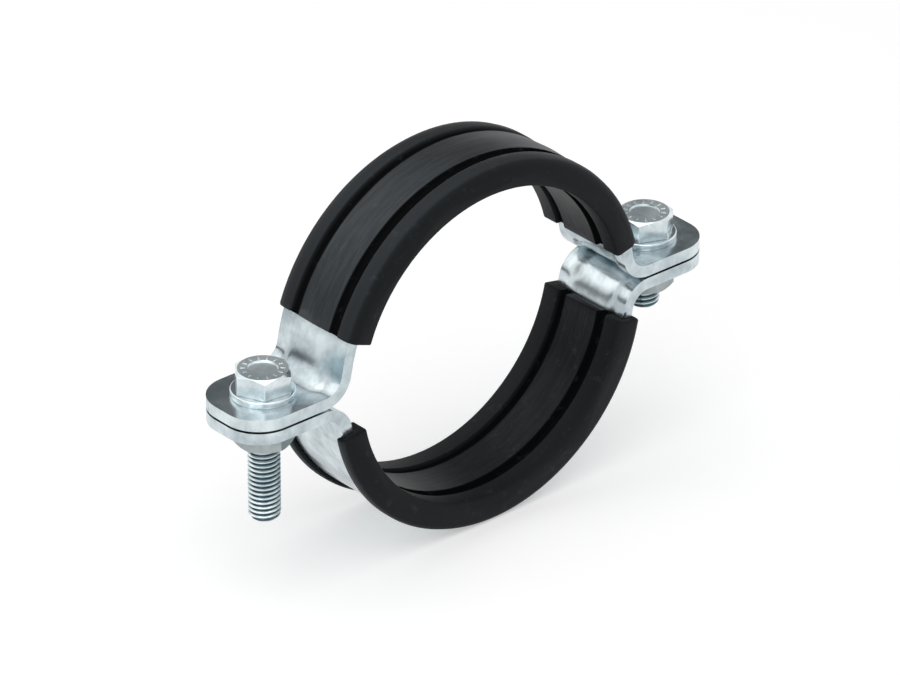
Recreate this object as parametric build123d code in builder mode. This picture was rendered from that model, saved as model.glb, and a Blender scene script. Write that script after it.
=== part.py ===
from build123d import *

import os
from math import acos, cos, hypot, pi, radians, sin, sqrt

# Rubber lined pipe clamp, two halves. All sizes in millimetres.
# Frame: origin on the pipe axis in the middle of the width, +Y along the pipe,
# +X towards the short bolt, +Z up the bolts. The halves meet at Z = 0.

# pipe and rubber
PIPE_R = 41.0          # radius the rubber grips
RUBBER_W = 28.0        # width along the pipe
LIP_R = 48.2           # outside of the rubber lips
SLEEVE_LEFT = 20.0     # upper sleeve's ends, degrees above the split on the long
SLEEVE_RIGHT = 14.6    # and on the short bolt's side
CHANNEL_END = 11.5     # lower channel stops this many degrees below the split

# rubber section, distances from the middle of the width
BAND_HALF = 5.8
GROOVE_HALF = 8.8
INNER_GROOVE = 1.0     # depth of the grooves facing the pipe
OUTER_GROOVE = 0.95    # depth of the grooves on the outside
RUBBER_GAP = 0.05      # between rubber and steel

# strip steel
STRIP_T = 3.0
STRIP_W = 24.0
STRIP_R = 46.9         # outside radius of the arc
EAR_GAP = 0.6          # between the upper and the lower ears
BEND_R = 5.0           # inside radius of the plain bend at the strip's edges
BEND_START = 14.4      # degrees, where the arc hands over to the bend
EAR_FLAT_X = 53.0      # where the bend ends and the flat ear starts
EAR_TIP_X = 73.5
EAR_CORNER_R = 9.5

# bolts, M8
BOLT_X = 60.7
BOLT_R = 4.0
HOLE_R = 4.5
HEX_AF = 13.0
HEAD_H = 5.3
NUT_H = 6.5
NUT_BORE_R = 4.05
WASHER_R = 8.0
WASHER_BORE_R = 4.2
WASHER_T = 1.6
LONG_BOLT = 35.0
SHORT_BOLT = 20.0

EAR_TOP = EAR_GAP / 2 + STRIP_T
HALF_W = RUBBER_W / 2
HALF_STRIP = STRIP_W / 2


def polar(radius, degrees):
    """A point of the X, Z plane at this radius and angle above +X."""
    return (radius * cos(radians(degrees)), radius * sin(radians(degrees)))


def section_plane(degrees):
    """Plane through the pipe axis: local x runs outwards, local y along the pipe."""
    a = radians(degrees)
    return Plane(origin=(0, 0, 0), x_dir=(cos(a), 0, sin(a)), z_dir=(-sin(a), 0, cos(a)))


# ---------------------------------------------------------------- the bend
def plain_bend(count):
    """Outer line of the bend at the strip's edges: rest of the arc, then a fillet."""
    cz = EAR_TOP + BEND_R
    cx = sqrt((STRIP_R + BEND_R) ** 2 - cz**2)
    touch = acos(cx / (STRIP_R + BEND_R))
    first = radians(BEND_START)
    arc = STRIP_R * (first - touch)
    turn = pi / 2 - touch
    flat = max(EAR_FLAT_X - cx, 0.0)
    total = arc + BEND_R * turn + flat
    points = []
    for i in range(count):
        s = total * i / (count - 1)
        if s <= arc:
            a = first - s / STRIP_R
            points.append((STRIP_R * cos(a), STRIP_R * sin(a)))
        elif s <= arc + BEND_R * turn:
            a = pi + touch + (s - arc) / BEND_R
            points.append((cx + BEND_R * cos(a), cz + BEND_R * sin(a)))
        else:
            points.append((cx + s - arc - BEND_R * turn, EAR_TOP))
    return points


def gusset_bend(count):
    """Outer line of the pressed gusset in the middle, a wide sweep across the corner."""
    x0, z0 = polar(STRIP_R, BEND_START)
    a = radians(BEND_START)
    p0, p3 = (x0, z0), (EAR_FLAT_X, EAR_TOP)
    p1 = (x0 + 4.6 * sin(a), z0 - 4.6 * cos(a))
    p2 = (EAR_FLAT_X - 4.4, EAR_TOP)
    points = []
    for i in range(count):
        t = i / (count - 1)
        w = ((1 - t) ** 3, 3 * t * (1 - t) ** 2, 3 * t * t * (1 - t), t**3)
        points.append(tuple(sum(w[k] * p[j] for k, p in enumerate((p0, p1, p2, p3)))
                            for j in (0, 1)))
    return points


def bend_lines(blend, count=8):
    """Upper and lower line of the strip through the bend; blend 0 plain, 1 gusset."""
    a = radians(BEND_START)
    upper = [(p[0] + (q[0] - p[0]) * blend, p[1] + (q[1] - p[1]) * blend)
             for p, q in zip(plain_bend(count), gusset_bend(count))]
    lower = []
    for i, (x, z) in enumerate(upper):
        if i == 0:
            dx, dz = sin(a), -cos(a)
        elif i == count - 1:
            dx, dz = 1.0, 0.0
        else:
            dx, dz = upper[i + 1][0] - upper[i - 1][0], upper[i + 1][1] - upper[i - 1][1]
        n = hypot(dx, dz)
        lower.append((x + STRIP_T * dz / n, z - STRIP_T * dx / n))
    return upper, lower


def bend_section(y, blend):
    """Draws the strip's section through the bend on the plane at this y."""
    a = radians(BEND_START)
    upper, lower = bend_lines(blend)
    even = [i / (len(upper) - 1) for i in range(len(upper))]
    with BuildSketch(Plane.XZ.offset(-y)) as section:
        with BuildLine():
            add(Edge.make_spline([Vector(*p) for p in upper], parameters=even,
                                 tangents=[Vector(sin(a), -cos(a)), Vector(1, 0)]))
            add(Edge.make_spline([Vector(*p) for p in reversed(lower)], parameters=even,
                                 tangents=[Vector(-1, 0), Vector(-sin(a), cos(a))]))
            Line(upper[-1], lower[-1])
            Line(lower[0], upper[0])
        make_face()
    return section.sketch


# gusset height across the width: none at the edges, full in the middle
FLANK = [(12.0, 0.0), (9.4, 0.0), (8.6, 0.09), (7.8, 0.35), (7.0, 0.65), (6.2, 0.91),
         (5.4, 1.0)]
GUSSET = [(-y, b) for y, b in FLANK] + FLANK[::-1]

# ---------------------------------------------------------------- upper strap
with BuildPart() as upper_strap:
    with BuildSketch(section_plane(180 - BEND_START)):
        with Locations((STRIP_R - STRIP_T / 2, 0)):
            Rectangle(STRIP_T, STRIP_W)
    revolve(axis=Axis.Y, revolution_arc=180 - 2 * BEND_START)
    bend = loft(sections=[bend_section(y, b).face() for y, b in GUSSET], ruled=True)
    with BuildSketch(Plane.XY.offset(EAR_GAP / 2)) as ear:
        with Locations(((EAR_FLAT_X + EAR_TIP_X) / 2, 0)):
            Rectangle(EAR_TIP_X - EAR_FLAT_X, STRIP_W)
        fillet(ear.vertices().group_by(Axis.X)[-1], EAR_CORNER_R)
        with Locations((BOLT_X, 0)):
            Circle(HOLE_R, mode=Mode.SUBTRACT)
    ear_plate = extrude(amount=STRIP_T)
    mirror(bend, about=Plane.YZ)
    mirror(ear_plate, about=Plane.YZ)
upper_strap.part.label = "upper_strap"

# ---------------------------------------------------------------- lower strap
with BuildPart() as lower_strap:
    mirror(upper_strap.part, about=Plane.XY)
lower_strap.part.label = "lower_strap"


# ---------------------------------------------------------------- rubber sections
def pipe_side(corner):
    """Half of the rubber's line on the pipe side, from the middle to the side face."""
    return [
        (PIPE_R, 0),
        (PIPE_R, BAND_HALF),
        (PIPE_R + INNER_GROOVE, BAND_HALF + 0.6),
        (PIPE_R + INNER_GROOVE, GROOVE_HALF - 0.6),
        (PIPE_R, GROOVE_HALF),
        (PIPE_R, HALF_W - corner),
        (PIPE_R + corner * 0.3, HALF_W - corner * 0.3),
        (PIPE_R + corner, HALF_W),
    ]


SLEEVE_OUT = [
    (LIP_R - 2.4, HALF_W),
    (LIP_R - 1.1, HALF_W - 0.5),
    (LIP_R - 0.3, HALF_W - 1.5),
    (LIP_R, HALF_W - 2.9),
    (LIP_R, GROOVE_HALF),
    (LIP_R - OUTER_GROOVE, GROOVE_HALF - 0.5),
    (LIP_R - OUTER_GROOVE, BAND_HALF + 0.5),
    (LIP_R - 0.2, BAND_HALF),
    (LIP_R + 0.1, 0),
]
CHANNEL_OUT = [
    (LIP_R - 1.3, HALF_W),
    (LIP_R - 0.4, HALF_W - 0.4),
    (LIP_R, HALF_W - 1.3),
    (LIP_R, HALF_STRIP - 0.9),
    (LIP_R - 0.3, HALF_STRIP - 1.3),
    (STRIP_R + RUBBER_GAP, HALF_STRIP - 1.3),
    (STRIP_R + RUBBER_GAP, HALF_STRIP + RUBBER_GAP),
    (STRIP_R - STRIP_T - RUBBER_GAP, HALF_STRIP + RUBBER_GAP),
    (STRIP_R - STRIP_T - RUBBER_GAP, 0),
]

# ---------------------------------------------------------------- upper lining
with BuildPart() as upper_lining:
    with BuildSketch(section_plane(180 - SLEEVE_LEFT)) as sleeve:
        with BuildLine():
            Polyline(*pipe_side(0.9), *SLEEVE_OUT, close=True)
        make_face()
        mirror(about=Plane.XZ)
        with Locations((STRIP_R - STRIP_T / 2, 0)):
            Rectangle(STRIP_T + 2 * RUBBER_GAP, STRIP_W + 2 * RUBBER_GAP, mode=Mode.SUBTRACT)
    revolve(axis=Axis.Y, revolution_arc=180 - SLEEVE_LEFT - SLEEVE_RIGHT)
upper_lining.part.label = "upper_lining"

# ---------------------------------------------------------------- lower lining
with BuildPart() as lower_lining:
    with BuildSketch(section_plane(-CHANNEL_END)) as channel:
        with BuildLine():
            Polyline(*pipe_side(0.7), *CHANNEL_OUT, close=True)
        make_face()
        mirror(about=Plane.XZ)
    revolve(axis=Axis.Y, revolution_arc=180 - 2 * CHANNEL_END)
lower_lining.part.label = "lower_lining"


# ---------------------------------------------------------------- fasteners
def hex_block(height, both_ends):
    """Hexagon of M8 size standing on Z = 0, corners turned down to 30 degrees."""
    corner = HEX_AF / sqrt(3)
    flat = HEX_AF / 2
    drop = (corner + 0.05 - flat * 0.95) / sqrt(3)
    low = [(0, 0), (flat * 0.95, 0), (corner + 0.05, drop)] if both_ends else [
        (0, 0), (corner + 0.05, 0)]
    with BuildPart() as block:
        with BuildSketch():
            RegularPolygon(radius=corner, side_count=6, major_radius=True)
        extrude(amount=height)
        with BuildSketch(Plane.XZ):
            with BuildLine():
                Polyline(*low, (corner + 0.05, height - drop), (flat * 0.95, height),
                         (0, height), close=True)
            make_face()
        revolve(axis=Axis.Z, mode=Mode.INTERSECT)
    return block.part


def make_bolt(x, length, turn):
    """Hex bolt pointing down at this x, with its washer's thickness under the head."""
    seat = EAR_TOP + WASHER_T
    with BuildPart() as bolt:
        with Locations(Location((x, 0, seat), (0, 0, turn))):
            add(hex_block(HEAD_H, False))
        with Locations((x, 0, seat - length / 2)):
            Cylinder(BOLT_R, length)
        end = bolt.faces().sort_by(Axis.Z)[0]
        chamfer(end.edges(), 0.7)
        with BuildSketch(Plane.XY.offset(seat + HEAD_H)):
            with Locations((x, 0)):
                Circle(3.75)
        extrude(amount=-0.35, mode=Mode.SUBTRACT)
    return bolt.part


def make_nut(x, turn):
    """Hex nut under the lower ear at this x."""
    with BuildPart() as nut:
        with Locations(Location((x, 0, -EAR_TOP - NUT_H), (0, 0, turn))):
            add(hex_block(NUT_H, True))
        with Locations((x, 0, -EAR_TOP - NUT_H / 2)):
            Cylinder(NUT_BORE_R, NUT_H + 1, mode=Mode.SUBTRACT)
        bore = nut.edges().filter_by(GeomType.CIRCLE)
        chamfer(bore.filter_by(lambda edge: abs(edge.radius - NUT_BORE_R) < 0.01), 0.4)
    return nut.part


def make_washer(x):
    """Flat washer on the upper ear at this x."""
    with BuildPart() as washer:
        with BuildSketch(Plane.XY.offset(EAR_TOP)):
            with Locations((x, 0)):
                Circle(WASHER_R)
                Circle(WASHER_BORE_R, mode=Mode.SUBTRACT)
        extrude(amount=WASHER_T)
        chamfer(washer.faces().sort_by(Axis.Z)[-1].edges().sort_by(SortBy.LENGTH)[-1], 0.25)
    return washer.part


long_bolt = make_bolt(-BOLT_X, LONG_BOLT, 54)
short_bolt = make_bolt(BOLT_X, SHORT_BOLT, 37)
long_bolt_nut = make_nut(-BOLT_X, 24)
short_bolt_nut = make_nut(BOLT_X, 14)
long_bolt_washer = make_washer(-BOLT_X)
short_bolt_washer = make_washer(BOLT_X)

# ---------------------------------------------------------------- files
os.makedirs("parts", exist_ok=True)
export_step(upper_strap.part, "parts/upper_strap.step")
export_step(lower_strap.part, "parts/lower_strap.step")
export_step(upper_lining.part, "parts/upper_lining.step")
export_step(lower_lining.part, "parts/lower_lining.step")
for name, piece in (
    ("long_bolt", long_bolt),
    ("short_bolt", short_bolt),
    ("long_bolt_nut", long_bolt_nut),
    ("short_bolt_nut", short_bolt_nut),
    ("long_bolt_washer", long_bolt_washer),
    ("short_bolt_washer", short_bolt_washer),
):
    piece.label = name
    export_step(piece, f"parts/{name}.step")
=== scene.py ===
# %% [markdown]
# # A rubber lined pipe clamp
# Two pressed steel half rings hold a pipe in a black rubber lining. Two hex bolts draw
# the halves together. This lesson takes the shapes that were built to size, makes the
# pieces that need more detail, and gives each surface its finish.

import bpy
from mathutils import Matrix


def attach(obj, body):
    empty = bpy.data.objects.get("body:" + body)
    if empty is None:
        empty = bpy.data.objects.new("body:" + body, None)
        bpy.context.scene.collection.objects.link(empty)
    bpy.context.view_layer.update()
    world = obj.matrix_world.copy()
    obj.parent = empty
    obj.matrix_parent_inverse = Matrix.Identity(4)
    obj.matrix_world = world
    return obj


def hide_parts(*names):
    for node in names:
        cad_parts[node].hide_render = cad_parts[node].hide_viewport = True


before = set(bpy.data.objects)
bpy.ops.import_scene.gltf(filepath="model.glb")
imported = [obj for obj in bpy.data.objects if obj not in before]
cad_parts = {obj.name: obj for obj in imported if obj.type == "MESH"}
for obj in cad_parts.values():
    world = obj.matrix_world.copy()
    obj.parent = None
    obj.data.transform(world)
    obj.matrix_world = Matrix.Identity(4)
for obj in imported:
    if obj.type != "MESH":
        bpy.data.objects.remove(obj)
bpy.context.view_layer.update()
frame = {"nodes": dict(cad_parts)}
print("pieces:", ", ".join(frame["nodes"]))

# %% Tools and units
from math import cos, hypot, pi, radians, sin, sqrt

import bmesh
import bpy
from mathutils import Vector

MM = 0.001
nodes = frame["nodes"]
print("one millimetre is", MM, "units")

# %% [markdown]
# ## Sizes
# These are the sizes the bolts and rings were made to. The new pieces have to meet the
# old ones, so the same numbers are used again here. Heights are counted from the plane
# where the halves meet. WELD is how close two points have to be to count as one.

# %% Named sizes
BOLT_X = 60.7 * MM
BOLT_R = 4.0 * MM
BOLT_SEAT = 4.9 * MM
HEAD_TOP = 10.2 * MM
LONG_BOLT = 35.0 * MM
SHORT_BOLT = 20.0 * MM
EAR_TOP = 3.3 * MM
NUT_H = 6.5 * MM
BORE_R = 4.05 * MM
ACROSS_FLATS = 13.0
HEX_CORNER = ACROSS_FLATS / sqrt(3) * MM
RING_BOTTOM = -48.2 * MM
WELD = 0.002 * MM
METAL_CREASE = 24
print("bolts stand", 2 * BOLT_X / MM, "mm apart")


# %% [markdown]
# ## Working by hand, in code
# Every operator works on what is selected, so each step starts by deselecting all and
# choosing one piece. These helpers keep that in one place.

# %% Helpers for choosing and joining pieces
def choose(*pieces):
    """Only these pieces are selected, and the first is active."""
    bpy.ops.object.select_all(action="DESELECT")
    for piece in pieces:
        piece.select_set(True)
    bpy.context.view_layer.objects.active = pieces[0]


def edit_all(piece):
    """Edit mode, with all of the piece selected."""
    choose(piece)
    bpy.ops.object.mode_set(mode="EDIT")
    bpy.ops.mesh.select_all(action="SELECT")


def done():
    """Back to object mode."""
    bpy.ops.object.mode_set(mode="OBJECT")


def apply_all(piece):
    """Applies the piece's modifiers in their order."""
    choose(piece)
    for name in [m.name for m in piece.modifiers]:
        bpy.ops.object.modifier_apply(modifier=name)


def shade(piece, degrees):
    """Smooth shading, with a crease where faces meet at more than this angle."""
    choose(piece)
    bpy.ops.object.shade_smooth_by_angle(angle=radians(degrees))


def one_piece(name, parts):
    """Joins the parts into the first of them."""
    choose(*parts)
    bpy.ops.object.join()
    piece = bpy.context.object
    piece.name = name
    print(name, len(piece.data.polygons), "faces")
    return piece


print("helpers ready")


# %% [markdown]
# ## Pressed and turned edges
# Steel from a press or a lathe never has a knife edge. A copy of each shape is welded,
# its flat faces are made whole again, and its sharp edges get a small bevel that
# catches the light. The bevel only takes material away, so the sizes stay.

# %% Broken edges
STILL_FLAT = radians(0.4)


def broken_edges(node, width, smooth=32, limit=42):
    """A welded copy of a piece with its sharp edges broken by this width."""
    source = nodes[node]
    piece = source.copy()
    piece.data = source.data.copy()
    piece.name = node + "_finished"
    piece.parent = None
    bpy.context.scene.collection.objects.link(piece)
    choose(piece)
    bpy.ops.mesh.customdata_custom_splitnormals_clear()
    edit_all(piece)
    bpy.ops.mesh.remove_doubles(threshold=WELD)
    bpy.ops.mesh.dissolve_limited(angle_limit=STILL_FLAT)
    bpy.ops.mesh.normals_make_consistent(inside=False)
    done()
    bevel = piece.modifiers.new("broken edges", "BEVEL")
    bevel.width = width
    bevel.segments = 2
    bevel.limit_method = "ANGLE"
    bevel.angle_limit = radians(limit)
    bevel.use_clamp_overlap = True
    apply_all(piece)
    shade(piece, smooth)
    print(node, len(piece.data.polygons), "faces after its edges were broken")
    return piece


# %% The straps, linings and washers
STEEL_EDGE = 0.28 * MM
RUBBER_EDGE = 0.3 * MM
WASHER_EDGE = 0.12 * MM
upper_strap = broken_edges("upper_strap", STEEL_EDGE)
lower_strap = broken_edges("lower_strap", STEEL_EDGE)
upper_lining = broken_edges("upper_lining", RUBBER_EDGE, smooth=50, limit=60)
lower_lining = broken_edges("lower_lining", RUBBER_EDGE, smooth=50, limit=60)
long_washer = broken_edges("long_bolt_washer", WASHER_EDGE)
short_washer = broken_edges("short_bolt_washer", WASHER_EDGE)


# %% [markdown]
# ## Hexagons
# A hexagon starts as a six sided bar with slightly rounded corners. A lathe takes its
# corners down to a cone, and a drill or a mill opens it. The cone, the drill and the mill
# are turned shapes, and Boolean modifiers cut the bar with them. That gives the curved
# edge between cone and flat, which a bevel of the hexagon alone doesn't.

# %% A turned shape
ROUND_SIDES = 96


def turned(name, x, rings):
    """A solid of revolution about a bolt's axis, from rings of (radius, height)."""
    bpy.ops.object.select_all(action="DESELECT")
    bpy.ops.mesh.primitive_circle_add(
        vertices=ROUND_SIDES, radius=rings[0][0], fill_type="NGON", location=(0, 0, 0))
    piece = bpy.context.object
    piece.name = name
    edit_all(piece)
    bpy.ops.transform.translate(value=(x, 0, rings[0][1]))
    for (r0, z0), (r1, z1) in zip(rings, rings[1:]):
        bpy.ops.mesh.extrude_region_move(TRANSFORM_OT_translate={"value": (0, 0, z1 - z0)})
        bpy.ops.transform.resize(value=(r1 / r0, r1 / r0, 1), center_override=(x, 0, z1))
    bpy.ops.mesh.select_all(action="SELECT")
    bpy.ops.mesh.normals_make_consistent(inside=False)
    done()
    return piece


# %% A six sided bar
# Blender's own hexagon has a corner on Y. Turned by this much, it has one on X.
CORNER_ON_X = -30
CORNER_ROUND = 0.28 * MM


def six_sided_bar(name, x, low, high, turn):
    """A hexagonal bar between two heights, its upright corners rounded.

    One corner is turned away from X by this many degrees.
    """
    bpy.ops.object.select_all(action="DESELECT")
    bpy.ops.mesh.primitive_cylinder_add(
        vertices=6, radius=HEX_CORNER, depth=high - low, location=(x, 0, (low + high) / 2),
        rotation=(0, 0, radians(turn + CORNER_ON_X)))
    piece = bpy.context.object
    piece.name = name
    bpy.ops.object.transform_apply(location=True, rotation=True, scale=True)
    mesh = bmesh.new()
    mesh.from_mesh(piece.data)
    for edge in mesh.edges:
        edge.select_set(abs(edge.verts[0].co.z - edge.verts[1].co.z) > 1 * MM)
    mesh.to_mesh(piece.data)
    mesh.free()
    bpy.ops.object.mode_set(mode="EDIT")
    bpy.ops.mesh.select_mode(type="EDGE")
    bpy.ops.mesh.bevel(offset=CORNER_ROUND, segments=3, profile=0.5)
    bpy.ops.mesh.select_mode(type="VERT")
    done()
    return piece


# %% Cutting the bar
def cut_with(piece, tool, operation):
    """Cuts the piece with a turned shape, which is then thrown away."""
    cut = piece.modifiers.new("cut", "BOOLEAN")
    cut.operation = operation
    cut.solver = "EXACT"
    cut.object = tool
    apply_all(piece)
    choose(tool)
    bpy.ops.object.delete()


def finish_hexagon(piece):
    """Cleans the cut bar and smooths its round faces."""
    edit_all(piece)
    bpy.ops.mesh.remove_doubles(threshold=WELD)
    bpy.ops.mesh.normals_make_consistent(inside=False)
    done()
    shade(piece, METAL_CREASE)
    print(piece.name, len(piece.data.polygons), "faces")


# %% The nuts
# The cone starts just outside the corners and comes down at 30 degrees to CONE_R.
CORNER_R = HEX_CORNER + 0.05 * MM
CONE_R = 6.175 * MM
CONE_H = (CORNER_R - CONE_R) / sqrt(3)
MOUTH = 0.4 * MM


def nut(name, x, turn):
    """A nut under the lower ear, coned at both ends and drilled through."""
    low, high = -EAR_TOP - NUT_H, -EAR_TOP
    piece = six_sided_bar(name, x, low, high, turn)
    cones = turned("cones", x, [(CONE_R, low), (CORNER_R, low + CONE_H),
                                (CORNER_R, high - CONE_H), (CONE_R, high)])
    cut_with(piece, cones, "INTERSECT")
    drill = turned("drill", x, [(BORE_R + MOUTH, low - MOUTH), (BORE_R + MOUTH, low),
                                (BORE_R, low + MOUTH), (BORE_R, high - MOUTH),
                                (BORE_R + MOUTH, high), (BORE_R + MOUTH, high + MOUTH)])
    cut_with(piece, drill, "DIFFERENCE")
    finish_hexagon(piece)
    return piece


long_nut = nut("long_bolt_nut_finished", -BOLT_X, 24)
short_nut = nut("short_bolt_nut_finished", BOLT_X, 14)

# %% The bolt heads
RECESS_R = 3.75 * MM
RECESS_DEPTH = 0.35 * MM
RECESS_SLOPE = 0.2 * MM


def bolt_head(name, x, turn):
    """A bolt's head, coned on top, with its shallow round recess."""
    piece = six_sided_bar(name, x, BOLT_SEAT, HEAD_TOP, turn)
    cone = turned("cone", x, [(CORNER_R, BOLT_SEAT), (CORNER_R, HEAD_TOP - CONE_H),
                              (CONE_R, HEAD_TOP)])
    cut_with(piece, cone, "INTERSECT")
    mill = turned("mill", x, [(RECESS_R - RECESS_SLOPE, HEAD_TOP - RECESS_DEPTH),
                              (RECESS_R, HEAD_TOP), (RECESS_R, HEAD_TOP + 1 * MM)])
    cut_with(piece, mill, "DIFFERENCE")
    finish_hexagon(piece)
    return piece


long_head = bolt_head("long_bolt_head", -BOLT_X, 54)
short_head = bolt_head("short_bolt_head", BOLT_X, 37)

# %% [markdown]
# ## The thread
# One turn of the thread is a small zigzag: root, flank, crest, flank. The Screw modifier
# winds it upwards around the bolt's axis. The ends are then cut square, and the crests at
# the tip are turned down to a cone, as a lathe leaves them.

# %% One turn of the thread, drawn point by point
THREAD_PITCH = 1.25 * MM
THREAD_DEPTH = 0.61 * MM
ROOT_R = BOLT_R - THREAD_DEPTH
SHOULDER_R = BOLT_R - 0.05 * MM
VALLEY_R = ROOT_R - 0.04 * MM
# Each point is a distance from the axis and a height in pitches.
TURN = [
    (ROOT_R, 0.16),
    (SHOULDER_R, 0.41),
    (BOLT_R, 0.46),
    (BOLT_R, 0.62),
    (SHOULDER_R, 0.67),
    (ROOT_R, 0.92),
    (VALLEY_R, 0.98),
    (VALLEY_R, 1.10),
    (ROOT_R, 1.16),
]


def thread_turn(name):
    """A line of edges for one pitch, made from one vertex by extruding."""
    bpy.ops.object.select_all(action="DESELECT")
    bpy.ops.mesh.primitive_plane_add(size=1 * MM, location=(0, 0, 0))
    piece = bpy.context.object
    piece.name = name
    edit_all(piece)
    bpy.ops.mesh.merge(type="CENTER")
    bpy.ops.transform.translate(value=(TURN[0][0], 0, TURN[0][1] * THREAD_PITCH))
    for (r0, t0), (r1, t1) in zip(TURN, TURN[1:]):
        step = (r1 - r0, 0, (t1 - t0) * THREAD_PITCH)
        bpy.ops.mesh.extrude_region_move(TRANSFORM_OT_translate={"value": step})
    done()
    return piece


print("one turn has", len(TURN), "points")

# %% Winding, cutting and pointing the shank
SPARE_TURNS = 2
TURN_STEPS = 40
SHANK_TOP = BOLT_SEAT - 0.02 * MM
TIP_DEPTH = 0.85 * MM
TIP_SLOPE = 0.95


def cut_level(height, **side):
    """Cuts the piece in edit mode at this height, clears one side and closes the cut."""
    bpy.ops.mesh.select_all(action="SELECT")
    bpy.ops.mesh.bisect(plane_co=(0, 0, height), plane_no=(0, 0, 1), use_fill=True, **side)


def threaded_shank(name, length, x):
    """A fully threaded shank hanging from the seat at this x."""
    piece = thread_turn(name)
    tip = BOLT_SEAT - length
    screw = piece.modifiers.new("wind", "SCREW")
    screw.axis = "Z"
    screw.angle = 2 * pi
    screw.screw_offset = THREAD_PITCH
    screw.iterations = int(length / THREAD_PITCH) + 2 * SPARE_TURNS
    screw.steps = TURN_STEPS
    screw.render_steps = TURN_STEPS
    screw.use_merge_vertices = True
    screw.merge_threshold = WELD
    apply_all(piece)
    edit_all(piece)
    bpy.ops.mesh.remove_doubles(threshold=WELD)
    bpy.ops.transform.translate(value=(x, 0, tip - SPARE_TURNS * THREAD_PITCH))
    cut_level(SHANK_TOP, clear_outer=True)
    cut_level(tip, clear_inner=True)
    bpy.ops.mesh.select_all(action="SELECT")
    bpy.ops.mesh.normals_make_consistent(inside=False)
    done()
    for v in piece.data.vertices:
        allowed = BOLT_R - TIP_DEPTH + (v.co.z - tip) * TIP_SLOPE
        r = hypot(v.co.x - x, v.co.y)
        if r > allowed:
            v.co.x = x + (v.co.x - x) * allowed / r
            v.co.y = v.co.y * allowed / r
    shade(piece, METAL_CREASE)
    print(name, len(piece.data.polygons), "faces")
    return piece


long_shank = threaded_shank("long_bolt_thread", LONG_BOLT, -BOLT_X)
short_shank = threaded_shank("short_bolt_thread", SHORT_BOLT, BOLT_X)

# %% [markdown]
# ## Forging marks on the heads
# A cold forged head has shallow marks raised around its recess. Plain bars stand for
# them: one small bevelled bar is made, then copied round the head.

# %% One bar
MARK_COUNT = 14
MARK_SIZE = (1.15 * MM, 0.34 * MM, 0.2 * MM)
MARK_EDGE = 0.07 * MM
MARK_RING = 4.75 * MM
MARK_HEIGHT = HEAD_TOP + 0.01 * MM
bpy.ops.object.select_all(action="DESELECT")
bpy.ops.mesh.primitive_cube_add(size=1, location=(0, 0, 0))
mark_bar = bpy.context.object
edit_all(mark_bar)
bpy.ops.transform.resize(value=MARK_SIZE)
bpy.ops.mesh.bevel(offset=MARK_EDGE, segments=2)
done()
print("one bar has", len(mark_bar.data.polygons), "faces")


# %% Bars around the recess
def head_marks(name, x, first):
    """Copies of the bar, turned and set round the recess of a head."""
    bars = []
    for i in range(MARK_COUNT):
        a = first + 2 * pi * i / MARK_COUNT
        choose(mark_bar)
        bpy.ops.object.duplicate()
        bar = bpy.context.object
        edit_all(bar)
        bpy.ops.transform.rotate(value=-a, orient_axis="Z", center_override=(0, 0, 0))
        bpy.ops.transform.translate(
            value=(x + MARK_RING * cos(a), MARK_RING * sin(a), MARK_HEIGHT))
        done()
        bars.append(bar)
    marks = one_piece(name, bars)
    shade(marks, 40)
    return marks


long_marks = head_marks("long_bolt_head_marks", -BOLT_X, 0.2)
short_marks = head_marks("short_bolt_head_marks", BOLT_X, 0.0)
choose(mark_bar)
bpy.ops.object.delete()

# %% [markdown]
# ## One piece for each bolt
# Head, marks and thread turn together, so they are joined into one piece each.

# %% Joining the bolts
long_bolt = one_piece("long_bolt_threaded", [long_head, long_shank, long_marks])
short_bolt = one_piece("short_bolt_threaded", [short_head, short_shank, short_marks])

# %% [markdown]
# ## Riding on the frame
# Each finished piece stands for the plain one it was made from, and moves with the same
# body. The last name in a row is the finish that the piece takes.

# %% Ride and replace
PIECES = (
    (upper_strap, "upper_strap", "upper_half", "strip_steel"),
    (lower_strap, "lower_strap", "lower_half", "strip_steel"),
    (upper_lining, "upper_lining", "upper_half", "lining_rubber"),
    (lower_lining, "lower_lining", "lower_half", "lining_rubber"),
    (long_nut, "long_bolt_nut", "lower_half", "bolt_steel"),
    (short_nut, "short_bolt_nut", "lower_half", "bolt_steel"),
    (long_washer, "long_bolt_washer", "upper_half", "bolt_steel"),
    (short_washer, "short_bolt_washer", "upper_half", "bolt_steel"),
    (long_bolt, "long_bolt", "long_bolt", "bolt_steel"),
    (short_bolt, "short_bolt", "short_bolt", "bolt_steel"),
)
for piece, node, body, finish in PIECES:
    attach(piece, body)
    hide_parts(node)
    print(piece.name, "rides on", body)

# %% [markdown]
# ## Finishes
# A material is a small network of nodes. These helpers add a node, name it and fill its
# inputs, so that the cells below read as a list of what each finish is made of. An input
# takes a number or a colour, or an output of another node, which is then wired to it.

# %% Helpers for one node
def feed(tree, entry, value):
    """Sets an input to a number or a colour, or wires an output to it."""
    if isinstance(value, bpy.types.NodeSocket):
        tree.links.new(value, entry)
    else:
        entry.default_value = value


def fill(tree, node, **inputs):
    """Feeds a node's inputs by name."""
    for key, value in inputs.items():
        feed(tree, node.inputs[key.replace("_", " ")], value)


def add_node(tree, kind, label, **inputs):
    """Adds a node of this kind and feeds its inputs."""
    node = tree.nodes.new(kind)
    node.label = label
    fill(tree, node, **inputs)
    return node


print("node helpers ready")


# %% Helpers for what most finishes need
def place_of(tree):
    """A point's place on the object."""
    return add_node(tree, "ShaderNodeTexCoord", "place").outputs["Object"]


def axes_of(tree):
    """A point's place on the object, split into X, Y and Z."""
    return add_node(tree, "ShaderNodeSeparateXYZ", "split", Vector=place_of(tree)).outputs


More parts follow.
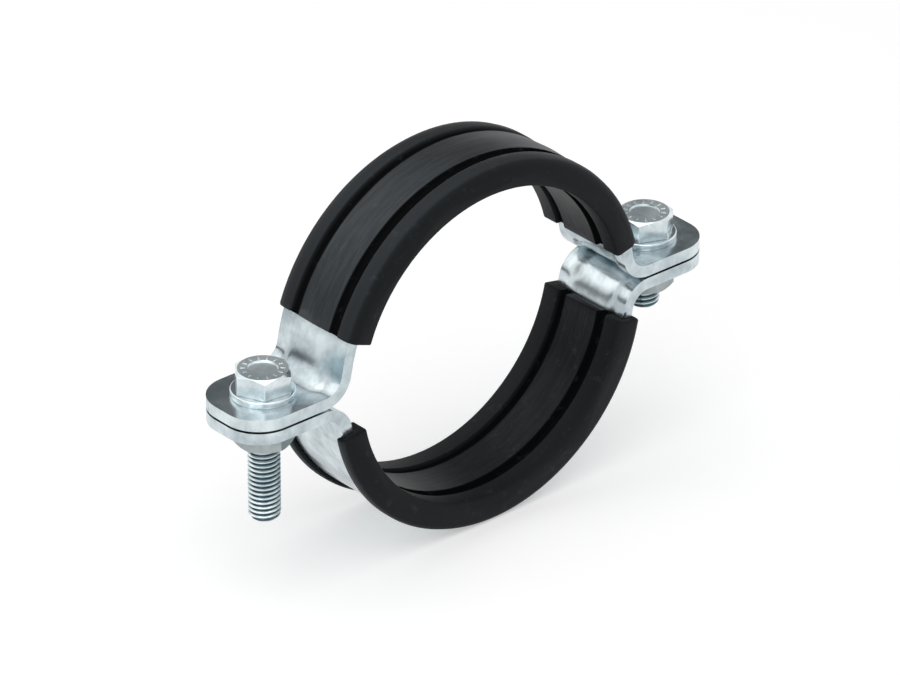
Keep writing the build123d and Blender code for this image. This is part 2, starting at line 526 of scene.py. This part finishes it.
def calculate(tree, label, operation, *values):
    """The result of a sum on numbers or outputs."""
    node = add_node(tree, "ShaderNodeMath", label)
    node.operation = operation
    for entry, value in zip(node.inputs, values):
        feed(tree, entry, value)
    return node.outputs[0]


def distance(tree, label, **axes):
    """The distance from the origin, counted along these axes alone."""
    level = add_node(tree, "ShaderNodeCombineXYZ", "these axes alone", **axes)
    node = add_node(tree, "ShaderNodeVectorMath", label)
    node.operation = "LENGTH"
    feed(tree, node.inputs[0], level.outputs[0])
    return node.outputs["Value"]


def spread(tree, label, value, start, end, low=0.0, high=1.0, curve="LINEAR"):
    """Runs from low to high while the value goes from start to end."""
    node = add_node(tree, "ShaderNodeMapRange", label, Value=value, From_Min=start,
                    From_Max=end, To_Min=low, To_Max=high)
    node.interpolation_type = curve
    return node.outputs["Result"]


def mixed(tree, label, factor, first, second, how="MIX"):
    """A colour between the first and the second."""
    node = add_node(tree, "ShaderNodeMix", label)
    node.data_type = "RGBA"
    node.blend_type = how
    fill(tree, node, Factor=factor, A=first, B=second)
    return node.outputs["Result"]


def noise(tree, label, place, scale, detail, roughness=0.6):
    """The grey of a noise texture."""
    node = add_node(tree, "ShaderNodeTexNoise", label, Vector=place, Scale=scale,
                    Detail=detail, Roughness=roughness)
    return node.outputs["Fac"]


print("finish helpers ready")


# %% Helpers for materials and groups
def new_material(name, **inputs):
    """A material, its nodes and its Principled shader, with these inputs fed."""
    material = bpy.data.materials.new(name)
    material.use_nodes = True
    tree = material.node_tree
    shader = tree.nodes["Principled BSDF"]
    fill(tree, shader, **inputs)
    return material, tree, shader


def add_relief(tree, shader, label, height, strength, depth):
    """A fine relief on the surface, from a height."""
    bump = add_node(tree, "ShaderNodeBump", label, Strength=strength, Distance=depth,
                    Height=height)
    fill(tree, shader, Normal=bump.outputs["Normal"])


def new_group(name, entries, exits):
    """A node group with these inputs and outputs."""
    group = bpy.data.node_groups.new(name, "ShaderNodeTree")
    for label, kind, value in entries:
        socket = group.interface.new_socket(label, in_out="INPUT", socket_type=kind)
        socket.default_value = value
    for label, kind in exits:
        group.interface.new_socket(label, in_out="OUTPUT", socket_type=kind)
    start = group.nodes.new("NodeGroupInput")
    end = group.nodes.new("NodeGroupOutput")
    return group, start.outputs, end


def use_group(tree, group, **inputs):
    """Places a group in a material and feeds its inputs."""
    node = tree.nodes.new("ShaderNodeGroup")
    node.node_tree = group
    fill(tree, node, **inputs)
    return node


print("material and group helpers ready")

# %% [markdown]
# ### Lines along the ring
# Rolled strip and extruded rubber both carry fine lines along their length, which bends
# round the ring. The group measures the angle around the pipe, how far out a point lies
# and how far across the width. It shrinks the first two, so that a noise on them is
# drawn out into lines. The two distances come out as well, for masks.

# %% Group: lines along the ring
TENTH = 0.1
RING_R = 45 * MM
lines, given, result = new_group(
    "lines along the ring",
    [("Scale", "NodeSocketFloat", 1200.0)],
    [("Lines", "NodeSocketFloat"), ("Across", "NodeSocketFloat"),
     ("Out", "NodeSocketFloat")],
)
x, y, z = axes_of(lines)
angle = calculate(lines, "angle around the pipe", "ARCTAN2", z, x)
along = calculate(lines, "a tenth of the length along", "MULTIPLY", angle,
                  TENTH * RING_R)
out = distance(lines, "distance out", X=x, Z=z)
out_part = calculate(lines, "a tenth of the distance out", "MULTIPLY", out, TENTH)
around = add_node(lines, "ShaderNodeCombineXYZ", "along, across, out", X=along, Y=y,
                  Z=out_part)
drawn = noise(lines, "drawn lines", around.outputs[0], scale=given["Scale"], detail=3)
across = calculate(lines, "distance from the middle", "ABSOLUTE", y)
fill(lines, result, Lines=drawn, Across=across, Out=out)
print("lines group has", len(lines.nodes), "nodes")

# %% [markdown]
# ### Zinc plating
# Plated steel is never one even colour. It clouds softly, it has a fine grain and tiny
# pits, and the rolling mill leaves drawn lines on strip. The group below gives a colour, a
# roughness and a height for all of this, and each steel sets its own amounts.

# %% Group: plated steel
CLOUD_EDGES = (0.36, 0.64)
PIT_EDGE = 0.2
STREAK_AMOUNT = 0.4
GRAIN_IN_ROUGHNESS = 0.3
plated, given, result = new_group(
    "plated steel",
    [
        ("Light", "NodeSocketColor", (0.72, 0.76, 0.78, 1)),
        ("Dark", "NodeSocketColor", (0.5, 0.55, 0.58, 1)),
        ("Grain", "NodeSocketFloat", 0.5),
        ("Roughness", "NodeSocketFloat", 0.3),
        ("Streak", "NodeSocketFloat", 0.5),
    ],
    [("Color", "NodeSocketColor"), ("Roughness", "NodeSocketFloat"),
     ("Height", "NodeSocketFloat")],
)
place = place_of(plated)
clouds = noise(plated, "plating clouds", place, scale=130, detail=5)
grain = noise(plated, "mill grain", place, scale=900, detail=3)
pits = add_node(plated, "ShaderNodeTexVoronoi", "pits", Vector=place, Scale=900)
pit_mask = spread(plated, "only the deep pits", pits.outputs["Distance"], 0, PIT_EDGE,
                  low=1, high=0)
cloud_range = spread(plated, "cloud contrast", clouds, *CLOUD_EDGES)
streaked = calculate(plated, "lines, dark and light alike", "MULTIPLY_ADD",
                     given["Streak"], STREAK_AMOUNT, -STREAK_AMOUNT / 2)
clouded = calculate(plated, "clouds and lines", "ADD", cloud_range, streaked)
clouded.node.use_clamp = True
tone = mixed(plated, "cloud colour", clouded, given["Dark"], given["Light"])
grain_part = calculate(plated, "amount of grain", "MULTIPLY", grain, given["Grain"])
rough_sum = calculate(plated, "roughness", "MULTIPLY_ADD", grain_part,
                      GRAIN_IN_ROUGHNESS, given["Roughness"])
height = calculate(plated, "height", "SUBTRACT", grain_part, pit_mask)
fill(plated, result, Color=tone, Roughness=rough_sum, Height=height)
print("plated steel group has", len(plated.nodes), "nodes")


# %% A steel made with the group
RELIEF_DEPTH = 0.06 * MM


def plated_material(name, light, dark, roughness, grain, bump):
    """Zinc plated steel with these amounts, and its finish group."""
    material, tree, shader = new_material(name, Metallic=1.0)
    finish = use_group(tree, plated, Light=light, Dark=dark, Grain=grain,
                       Roughness=roughness)
    fill(tree, shader, Base_Color=finish.outputs["Color"],
         Roughness=finish.outputs["Roughness"])
    add_relief(tree, shader, "fine relief", finish.outputs["Height"], strength=bump,
               depth=RELIEF_DEPTH)
    print(name, "ready")
    return material, finish


# %% Strip steel, with its lines from the mill
strip_steel, finish = plated_material(
    "galvanised_strip_steel", light=(0.68, 0.755, 0.78, 1), dark=(0.40, 0.465, 0.495, 1),
    roughness=0.22, grain=0.08, bump=0.05)
tree = strip_steel.node_tree
mill = use_group(tree, lines, Scale=1500)
fill(tree, finish, Streak=mill.outputs["Lines"])
print("strip steel has", len(tree.nodes), "nodes")

# %% [markdown]
# Shade is painted into the thread: the colour darkens from the crests down to the root.
# The distance from the bolt's own axis tells the root from the crest. The heads lie above
# the seat, and the washers and nuts lie farther out than the crests, so this shade misses
# them.

# %% Bolt steel, with painted shade in the thread
# The first colour is painted shade, darkest at the root of the thread.
ROOT_PAINTED_SHADE = (0.05, 0.095, 0.115, 1)
PAINTED_SHADE_UP_TO = ROOT_R + 0.1 * MM
BRIGHT_FROM = BOLT_R - 0.08 * MM
bolt_steel, finish = plated_material(
    "zinc_plated_bolt_steel", light=(0.78, 0.85, 0.87, 1), dark=(0.50, 0.57, 0.60, 1),
    roughness=0.2, grain=0.08, bump=0.05)
tree = bolt_steel.node_tree
shader = tree.nodes["Principled BSDF"]
x, y, z = axes_of(tree)
either = calculate(tree, "either bolt", "ABSOLUTE", x)
aside = calculate(tree, "aside of the bolt axis", "SUBTRACT", either, BOLT_X)
from_axis = distance(tree, "distance from the axis", X=aside, Y=y)
crest = spread(tree, "root to crest", from_axis, PAINTED_SHADE_UP_TO, BRIGHT_FROM)
above = calculate(tree, "above the seat", "GREATER_THAN", z, BOLT_SEAT)
bright = calculate(tree, "bright parts", "MAXIMUM", crest, above)
# The thread's colour with painted shade mixed in towards the root.
deep = mixed(tree, "painted shade at the root", bright, ROOT_PAINTED_SHADE, finish.outputs["Color"])
print("bolt steel has", len(tree.nodes), "nodes so far")

# %% [markdown]
# The nuts are painted greyer than the bolts, as shade under the ears, and are rougher too.
# They are found below the ears and outside the thread. The flat tops of the heads are a
# little rougher as well, from the stamp.

# %% Shaded, rougher nuts and stamped tops
# The nuts' grey is painted shade from the ears above them.
NUT_PAINTED_SHADE = (0.55, 0.55, 0.54, 1)
DULLER = 0.15
STAMPED = 0.13
OUT_OF_THREAD = BOLT_R + 0.02 * MM
TOPS_FROM = HEAD_TOP - 0.4 * MM
below = calculate(tree, "below the ears", "LESS_THAN", z, -EAR_TOP)
outside = calculate(tree, "outside the thread", "GREATER_THAN", from_axis, OUT_OF_THREAD)
nuts = calculate(tree, "the nuts", "MULTIPLY", below, outside)
# Painted shade darkens the nuts.
greyer = mixed(tree, "painted shade on the nuts", nuts, deep, NUT_PAINTED_SHADE, how="MULTIPLY")
duller = calculate(tree, "duller nuts", "MULTIPLY_ADD", nuts, DULLER,
                   finish.outputs["Roughness"])
on_top = calculate(tree, "on top of the heads", "GREATER_THAN", z, TOPS_FROM)
flat_top = calculate(tree, "inside the cone", "LESS_THAN", from_axis, CONE_R)
stamped = calculate(tree, "stamped tops", "MULTIPLY", on_top, flat_top)
rougher = calculate(tree, "rougher stamped tops", "MULTIPLY_ADD", stamped, STAMPED, duller)
fill(tree, shader, Base_Color=greyer, Roughness=rougher)
print("bolt steel has", len(tree.nodes), "nodes")

# %% [markdown]
# ### Lining rubber
# The lining is extruded black rubber. On the outside of the ring, the band between the
# lips came off the die smooth, shines faintly blue and shows drawn lines, and the crowns
# of the lips are rubbed by hands. The grooves stay dark, and all of it carries a fine
# skin and a few grey scuffs.

# %% The rubber's base
BLACKS = ((0.003, 0.0033, 0.0035, 1), (0.006, 0.0066, 0.0072, 1))
SCUFF_GREY = (0.022, 0.025, 0.028, 1)
SCUFF_EDGES = (0.58, 0.74)
rubber, tree, shader = new_material("black_lining_rubber")
place = place_of(tree)
skin = noise(tree, "skin", place, scale=1500, detail=4)
patches = noise(tree, "patches", place, scale=60, detail=5)
scuffs = noise(tree, "scuffs", place, scale=300, detail=6, roughness=0.7)
scuff_mask = spread(tree, "scuff mask", scuffs, *SCUFF_EDGES)
base = mixed(tree, "patchy black", patches, *BLACKS)
scuffed = mixed(tree, "scuffed", scuff_mask, base, SCUFF_GREY)
fill(tree, shader, Base_Color=scuffed)
print("rubber has", len(tree.nodes), "nodes so far")

# %% [markdown]
# The masks of the next cell are distances too. The band ends and the lips begin at a
# distance across the width, and the outside and the crowns at a distance from the pipe's
# axis. Band and lips shine by their Specular, which is strongest on the outside of the
# band and on the crowns. The grooves have none.

# %% Band, grooves and lips
BAND_END = (5.3 * MM, 5.9 * MM)
LIP_START = (8.0 * MM, 8.8 * MM)
OUTSIDE_START = (44.0 * MM, 47.0 * MM)
CROWN_START = (47.5 * MM, 48.1 * MM)
LINE_EDGES = (0.4, 0.6)
BAND_SHINE = (0.47, 0.63)
INSIDE_SHARE = 0.3
CROWN_SHINE = (0.17, 0.36)
FAINT_BLUE = (0.8, 0.91, 1.0, 1)
drawn = use_group(tree, lines, Scale=1300).outputs
band = spread(tree, "the band in the middle", drawn["Across"], *BAND_END, low=1, high=0,
              curve="SMOOTHSTEP")
lip = spread(tree, "the lips", drawn["Across"], *LIP_START, curve="SMOOTHSTEP")
line_range = spread(tree, "line contrast", drawn["Lines"], *LINE_EDGES, *BAND_SHINE)
outside = spread(tree, "outside of the ring", drawn["Out"], *OUTSIDE_START,
                 low=INSIDE_SHARE)
band_outside = calculate(tree, "the band outside", "MULTIPLY", band, outside)
band_shine = calculate(tree, "shine of the band", "MULTIPLY", band_outside, line_range)
crown = spread(tree, "crowns of the lips, rubbed by hands", drawn["Out"], *CROWN_START,
               *CROWN_SHINE, curve="SMOOTHSTEP")
shine = calculate(tree, "shine of band and lips", "MULTIPLY_ADD", lip, crown, band_shine)
fill(tree, shader, Specular_IOR_Level=shine, Specular_Tint=FAINT_BLUE)
print("rubber has", len(tree.nodes), "nodes so far")

# %% Dull lips and a fine skin
LIP_ROUGHNESS = 0.5
BAND_ROUGHNESS = 0.38
UNEVEN = 0.14
LINES_IN_SKIN = 0.5
SKIN_DEPTH = 0.1 * MM
dull = spread(tree, "dull lips, smoother band", band, 0, 1, LIP_ROUGHNESS, BAND_ROUGHNESS)
uneven = calculate(tree, "uneven sheen", "MULTIPLY_ADD", patches, UNEVEN, dull)
fill(tree, shader, Roughness=uneven)
relief = calculate(tree, "skin and lines", "MULTIPLY_ADD", drawn["Lines"], LINES_IN_SKIN,
                   skin)
add_relief(tree, shader, "skin relief", relief, strength=0.3, depth=SKIN_DEPTH)
print("rubber has", len(tree.nodes), "nodes")

# %% Putting the finishes on
FINISH = {"strip_steel": strip_steel, "bolt_steel": bolt_steel, "lining_rubber": rubber}
for piece, _, _, finish in PIECES:
    piece.data.materials.clear()
    piece.data.materials.append(FINISH[finish])
print("finishes on")

# %% [markdown]
# ## The studio
# The clamp stands on a plain pale floor under soft light. The world is white where the
# camera and the reflections see it, and gives plain grey light elsewhere. The floor glows
# where they see it, so that it looks about as pale as the world behind it.

# %% What a ray is for
def seen_by(tree, *kinds):
    """1 on rays of these kinds, 0 on all others."""
    rays = add_node(tree, "ShaderNodeLightPath", "rays").outputs
    seen = rays[kinds[0]]
    for kind in kinds[1:]:
        seen = calculate(tree, "or " + kind, "MAXIMUM", seen, rays[kind])
    return seen


print("ray helper ready")

# %% World
GREY_LIGHT = 0.55
world = bpy.data.worlds.new("studio")
bpy.context.scene.world = world
world.use_nodes = True
tree = world.node_tree
seen = seen_by(tree, "Is Camera Ray", "Is Glossy Ray", "Is Transmission Ray")
level = spread(tree, "level", seen, 0, 1, low=GREY_LIGHT, high=1)
fill(tree, tree.nodes["Background"], Strength=level, Color=(1, 1, 1, 1))
print("world ready")

# %% Floor
FLOOR_SIZE = 6
FLOOR_Z = RING_BOTTOM - 0.1 * MM
FLOOR_GLOW = 0.36
bpy.ops.object.select_all(action="DESELECT")
bpy.ops.mesh.primitive_plane_add(size=FLOOR_SIZE, location=(0, 0, 0))
floor = bpy.context.object
floor.name = "studio_floor"
edit_all(floor)
bpy.ops.transform.translate(value=(0, 0, FLOOR_Z))
done()
paper, tree, shader = new_material(
    "pale_floor", Base_Color=(0.82, 0.82, 0.82, 1), Roughness=0.9,
    Specular_IOR_Level=0.1, Emission_Color=(1, 1, 1, 1))
seen = seen_by(tree, "Is Camera Ray", "Is Glossy Ray")
glow = calculate(tree, "white where seen", "MULTIPLY", seen, FLOOR_GLOW)
fill(tree, shader, Emission_Strength=glow)
floor.data.materials.append(paper)
print("floor ready")


# %% Lamps
def facing(place, aim, axis):
    """The rotation that turns this axis of an object from its place to the aim."""
    return (Vector(aim) - Vector(place)).to_track_quat(axis, "Y").to_euler()


def soft_lamp(name, place, size, power):
    """A square soft box at this place, aimed at the clamp."""
    data = bpy.data.lights.new(name, "AREA")
    data.shape = "SQUARE"
    data.size = size
    data.energy = power
    lamp = bpy.data.objects.new(name, data)
    bpy.context.scene.collection.objects.link(lamp)
    lamp.location = place
    lamp.rotation_euler = facing(place, (0, 0, 0), "-Z")


soft_lamp("overhead_box", (-0.15, -0.1, 0.75), size=0.8, power=2.0)
soft_lamp("left_box", (-0.8, -0.35, 0.45), size=0.6, power=1.3)
soft_lamp("rim_box", (-0.42, 0.72, 0.72), size=0.7, power=0.6)
print("lamps ready")


# %% [markdown]
# Bright metal shows what stands around it. Dark cards, unseen by the camera, give the
# steel its grey tones, as in any product studio.

# %% Grey cards
COOL_GREY = (0.92, 1, 1.04)


def grey_card(name, place, aim, width, height, brightness):
    """A card of one cool grey that only reflections see."""
    bpy.ops.object.select_all(action="DESELECT")
    bpy.ops.mesh.primitive_plane_add(size=1, location=(0, 0, 0))
    card = bpy.context.object
    card.name = name
    card.scale = (width, height, 1)
    card.location = place
    card.rotation_euler = facing(place, aim, "Z")
    card.visible_camera = False
    card.visible_diffuse = False
    card.visible_shadow = False
    grey, _, _ = new_material(
        name + "_grey", Base_Color=(0, 0, 0, 1), Specular_IOR_Level=0,
        Emission_Color=[brightness * part for part in COOL_GREY] + [1],
        Emission_Strength=1)
    card.data.materials.append(grey)


grey_card("back_card", (0.57, 0.66, 0.5), aim=(0, 0, 0), width=0.85, height=0.46,
          brightness=0.1)
grey_card("side_card", (-0.64, 0.62, 0.16), aim=(0, 0, 0), width=0.7, height=0.18,
          brightness=0.08)
grey_card("floor_card", (0.34, -0.44, RING_BOTTOM + 1 * MM), aim=(0.34, -0.44, 1),
          width=0.3, height=0.5, brightness=0.3)
print("cards ready")

# %% [markdown]
# ## The camera
# It looks down at the clamp from the front left, through a long lens. The point it aims
# at lies a little left of the ring's middle and a little below it.

# %% Camera
AZIMUTH = radians(-40.68)
ELEVATION = radians(28.88)
DISTANCE = 2.0
AIM_RIGHT = -0.00168
AIM_UP = -0.00302
SENSOR_MM = 36
FOCAL_MM = 331
towards = Vector((sin(AZIMUTH) * cos(ELEVATION), -cos(AZIMUTH) * cos(ELEVATION),
                  sin(ELEVATION)))
right = Vector((cos(AZIMUTH), sin(AZIMUTH), 0))
up = towards.cross(right)
target = right * AIM_RIGHT + up * AIM_UP
lens = bpy.data.cameras.new("camera")
lens.sensor_width = SENSOR_MM
lens.lens = FOCAL_MM
camera = bpy.data.objects.new("camera", lens)
bpy.context.scene.collection.objects.link(camera)
camera.location = target + towards * DISTANCE
camera.rotation_euler = (-towards).to_track_quat("-Z", "Y").to_euler()
bpy.context.scene.camera = camera
bpy.context.scene.view_settings.view_transform = "Standard"
print("camera", round(lens.lens, 1), "mm lens")

# %% A last update
bpy.context.view_layer.update()
